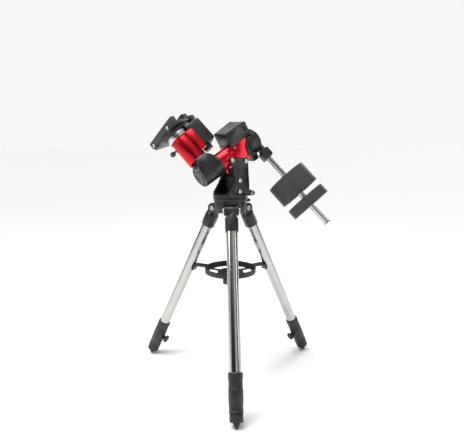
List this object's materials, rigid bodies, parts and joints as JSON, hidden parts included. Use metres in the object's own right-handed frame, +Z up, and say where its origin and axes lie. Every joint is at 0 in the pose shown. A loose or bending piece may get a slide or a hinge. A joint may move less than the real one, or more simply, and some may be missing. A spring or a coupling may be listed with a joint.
{
  "type": "equatorial mount",
  "caption": "Motor-driven equatorial telescope mount with a centre-set head, sliding counterweights on a bar, a dovetail saddle and a tubular steel tripod with a spreader tray.",
  "frame": {"origin": "on the ground, under the middle of the outline seen from above", "axes": "+X north, the side the polar axis rises towards, +Y west, +Z up"},
  "size_m": [0.6007, 0.6406, 0.9377],
  "materials": {
    "black_casting": "satin",
    "red_anodised": "satin, metallic",
    "polished_steel": "polished",
    "bright_steel": "machined",
    "silver_aluminium": "machined",
    "grey_casting": "satin",
    "black_plastic": "moulded",
    "black_sheet": "satin",
    "dark_iron": "powder coated",
    "shaft_steel": "ground",
    "wheel_brass": "machined",
    "motor_body": "satin",
    "belt_rubber": "matt"
  },
  "bodies": {
    "tripod": {"tripod_hub": "black_casting", "leg_pivot_bolts": "bright_steel", "spreader_rod": "shaft_steel"},
    "spreader": {"spreader_tray": "black_plastic"},
    "spreader_nut": {"spreader_knob": "black_plastic"},
    "azimuth": {"azimuth_base": "black_casting", "fork_cheeks": "black_casting", "fork_bolts": "bright_steel"},
    "azimuth_adjusters": {"azimuth_screws": "bright_steel"},
    "altitude": {"polar_housing": "red_anodised", "polar_bearings": "shaft_steel", "polar_gear_case": "black_casting", "polar_drive_cover": "black_sheet", "polar_motor": "motor_body", "polar_belt": "belt_rubber"},
    "polar_axis": {"polar_shaft": "shaft_steel", "polar_worm_wheel": "wheel_brass", "counterweight_hub": "black_casting", "counterweight_holder": "black_casting", "counterweight_bar": "polished_steel", "toe_stop": "bright_steel", "axis_head": "black_casting", "head_cover": "black_casting", "polar_end_cap": "black_casting", "dec_housing": "red_anodised", "dec_bearings": "shaft_steel", "dec_gear_case": "silver_aluminium", "dec_drive_cover": "black_sheet", "dec_motor": "motor_body", "dec_belt": "belt_rubber"},
    "polar_worm_shaft": {"polar_worm": "shaft_steel"},
    "polar_motor_shaft": {"polar_motor_pulley": "shaft_steel"},
    "polar_clutch": {"polar_clutch_knob": "grey_casting"},
    "declination": {"dec_shaft": "shaft_steel", "dec_worm_wheel": "wheel_brass", "dec_head": "black_casting", "saddle_base": "grey_casting", "saddle_bolts": "bright_steel"},
    "dec_worm_shaft": {"dec_worm": "shaft_steel"},
    "dec_motor_shaft": {"dec_motor_pulley": "shaft_steel"},
    "dec_clutch": {"dec_clutch_knob": "grey_casting"},
    "jaw": {"saddle_jaw": "grey_casting"},
    "jaw_knob_1": {"saddle_knob_1": "grey_casting"},
    "jaw_knob_2": {"saddle_knob_2": "grey_casting"},
    "large_weight": {"counterweight_large": "dark_iron"},
    "small_weight": {"counterweight_small": "dark_iron"},
    "large_weight_lock": {"counterweight_lock_large": "bright_steel"},
    "small_weight_lock": {"counterweight_lock_small": "bright_steel"},
    "leg_north": {"leg_bracket_north": "black_casting", "leg_tube_north": "polished_steel"},
    "extension_north": {"leg_extension_north": "polished_steel"},
    "leg_clamp_north": {"leg_clamp_knob_north": "black_plastic"},
    "leg_east": {"leg_bracket_east": "black_casting", "leg_tube_east": "polished_steel"},
    "extension_east": {"leg_extension_east": "polished_steel"},
    "leg_clamp_east": {"leg_clamp_knob_east": "black_plastic"},
    "leg_west": {"leg_bracket_west": "black_casting", "leg_tube_west": "polished_steel"},
    "extension_west": {"leg_extension_west": "polished_steel"},
    "leg_clamp_west": {"leg_clamp_knob_west": "black_plastic"}
  },
  "joints": [
    {"name": "leg_fold_north", "type": "hinge", "parent": "tripod", "child": "leg_north", "pos_m": [-0.00633, 0, 0.6072], "axis": [0, 1, 0], "range_deg": [0, 2.5]},
    {"name": "leg_slide_north", "type": "slide", "parent": "leg_north", "child": "extension_north", "axis": [0.4395, 0, -0.8983], "range_m": [0, 0.38]},
    {"name": "leg_clamp_turn_north", "type": "hinge", "parent": "leg_north", "child": "leg_clamp_north", "pos_m": [0.22203, 0, 0.06989], "axis": [-0.8983, 0, -0.4395], "range_deg": [-1080, 0]},
    {"name": "leg_fold_east", "type": "hinge", "parent": "tripod", "child": "leg_east", "pos_m": [-0.09573, -0.05162, 0.6072], "axis": [0.866, -0.5, 0], "range_deg": [0, 2.5]},
    {"name": "leg_slide_east", "type": "slide", "parent": "leg_east", "child": "extension_east", "axis": [-0.2197, -0.3806, -0.8983], "range_m": [0, 0.38]},
    {"name": "leg_clamp_turn_east", "type": "hinge", "parent": "leg_east", "child": "leg_clamp_east", "pos_m": [-0.20991, -0.24938, 0.06989], "axis": [0.4491, 0.7779, -0.4395], "range_deg": [-1080, 0]},
    {"name": "leg_fold_west", "type": "hinge", "parent": "tripod", "child": "leg_west", "pos_m": [-0.09573, 0.05162, 0.6072], "axis": [-0.866, -0.5, 0], "range_deg": [0, 2.5]},
    {"name": "leg_slide_west", "type": "slide", "parent": "leg_west", "child": "extension_west", "axis": [-0.2197, 0.3806, -0.8983], "range_m": [0, 0.38]},
    {"name": "leg_clamp_turn_west", "type": "hinge", "parent": "leg_west", "child": "leg_clamp_west", "pos_m": [-0.20991, 0.24938, 0.06989], "axis": [0.4491, -0.7779, -0.4395], "range_deg": [-1080, 0]},
    {"name": "spreader_slide", "type": "slide", "parent": "tripod", "child": "spreader", "axis": [0, 0, -1], "range_m": [0, 0.0286]},
    {"name": "spreader_knob_turn", "type": "hinge", "parent": "spreader", "child": "spreader_nut", "pos_m": [-0.06593, 0, 0.352], "axis": [0, 0, 1], "range_deg": [0, 6820]},
    {"name": "azimuth_turn", "type": "hinge", "parent": "tripod", "child": "azimuth", "pos_m": [-0.06593, 0, 0.637], "axis": [0, 0, 1], "range_deg": [-6.5, 6.5]},
    {"name": "azimuth_screw_slide", "type": "slide", "parent": "azimuth", "child": "azimuth_adjusters", "axis": [0, 1, 0], "range_m": [-0.008, 0.008]},
    {"name": "altitude_tilt", "type": "hinge", "parent": "azimuth", "child": "altitude", "pos_m": [-0.08996, 0, 0.77802], "axis": [0, -1, 0], "range_deg": [-30, 20]},
    {"name": "polar_turn", "type": "hinge", "parent": "altitude", "child": "polar_axis", "pos_m": [-0.06593, 0, 0.792], "axis": [0.8643, 0, 0.503], "range_deg": [-66.8, 133.2]},
    {"name": "polar_worm_turn", "type": "hinge", "parent": "altitude", "child": "polar_worm_shaft", "pos_m": [-0.02389, 0, 0.87085], "axis": [0, -1, 0], "range_deg": [-9620, 19182]},
    {"name": "polar_motor_turn", "type": "hinge", "parent": "altitude", "child": "polar_motor_shaft", "pos_m": [-0.07587, 0, 0.85679], "axis": [0, -1, 0], "range_deg": [-12828, 25576]},
    {"name": "polar_clutch_turn", "type": "hinge", "parent": "altitude", "child": "polar_clutch", "pos_m": [0.02541, 0.02, 0.78615], "axis": [0, 1, 0], "range_deg": [-720, 0]},
    {"name": "declination_turn", "type": "hinge", "parent": "polar_axis", "child": "declination", "pos_m": [-0.15668, 0, 0.73918], "axis": [-0.4209, 0.5476, 0.7232], "continuous": true},
    {"name": "dec_worm_turn", "type": "hinge", "parent": "polar_axis", "child": "dec_worm_shaft", "pos_m": [-0.18647, 0.08542, 0.87288], "axis": [0.2754, 0.8368, -0.4732], "continuous": true},
    {"name": "dec_motor_turn", "type": "hinge", "parent": "polar_axis", "child": "dec_motor_shaft", "pos_m": [-0.14384, 0.05695, 0.84734], "axis": [0.2754, 0.8368, -0.4732], "continuous": true},
    {"name": "dec_clutch_turn", "type": "hinge", "parent": "polar_axis", "child": "dec_clutch", "pos_m": [-0.22826, 0.09992, 0.80439], "axis": [-0.3642, 0.6282, -0.6876], "range_deg": [-720, 0]},
    {"name": "jaw_slide", "type": "slide", "parent": "declination", "child": "jaw", "axis": [0.8789, 0.4434, 0.1758], "range_m": [0, 0.008]},
    {"name": "saddle_knob_turn_1", "type": "hinge", "parent": "jaw", "child": "jaw_knob_1", "pos_m": [-0.17754, 0.09367, 0.91608], "axis": [-0.8789, -0.4434, -0.1758], "range_deg": [-2304, 0]},
    {"name": "saddle_knob_turn_2", "type": "hinge", "parent": "jaw", "child": "jaw_knob_2", "pos_m": [-0.20155, 0.1696, 0.84462], "axis": [-0.8789, -0.4434, -0.1758], "range_deg": [-2304, 0]},
    {"name": "large_weight_slide", "type": "slide", "parent": "polar_axis", "child": "large_weight", "axis": [0.4209, -0.5476, -0.7232], "range_m": [-0.085, 0.021]},
    {"name": "large_weight_lock_turn", "type": "hinge", "parent": "large_weight", "child": "large_weight_lock", "pos_m": [0.14066, -0.05172, 0.65175], "axis": [0.2754, 0.8368, -0.4732], "range_deg": [-1080, 0]},
    {"name": "small_weight_slide", "type": "slide", "parent": "polar_axis", "child": "small_weight", "axis": [0.4209, -0.5476, -0.7232], "range_m": [-0.021, 0.077]},
    {"name": "small_weight_lock_turn", "type": "hinge", "parent": "small_weight", "child": "small_weight_lock", "pos_m": [0.17366, -0.09465, 0.59505], "axis": [0.2754, 0.8368, -0.4732], "range_deg": [-1080, 0]}
  ],
  "couplings": [
    {"joint": "leg_fold_east", "follows": "leg_fold_north", "ratio": 1},
    {"joint": "leg_fold_west", "follows": "leg_fold_north", "ratio": 1},
    {"joint": "spreader_slide", "follows": "leg_fold_north", "m_per_rad": 0.65},
    {"joint": "azimuth_screw_slide", "follows": "azimuth_turn", "m_per_rad": -0.068},
    {"joint": "polar_worm_turn", "follows": "polar_turn", "ratio": 144},
    {"joint": "polar_motor_turn", "follows": "polar_turn", "ratio": 192},
    {"joint": "dec_worm_turn", "follows": "declination_turn", "ratio": 144},
    {"joint": "dec_motor_turn", "follows": "declination_turn", "ratio": 192}
  ]
}
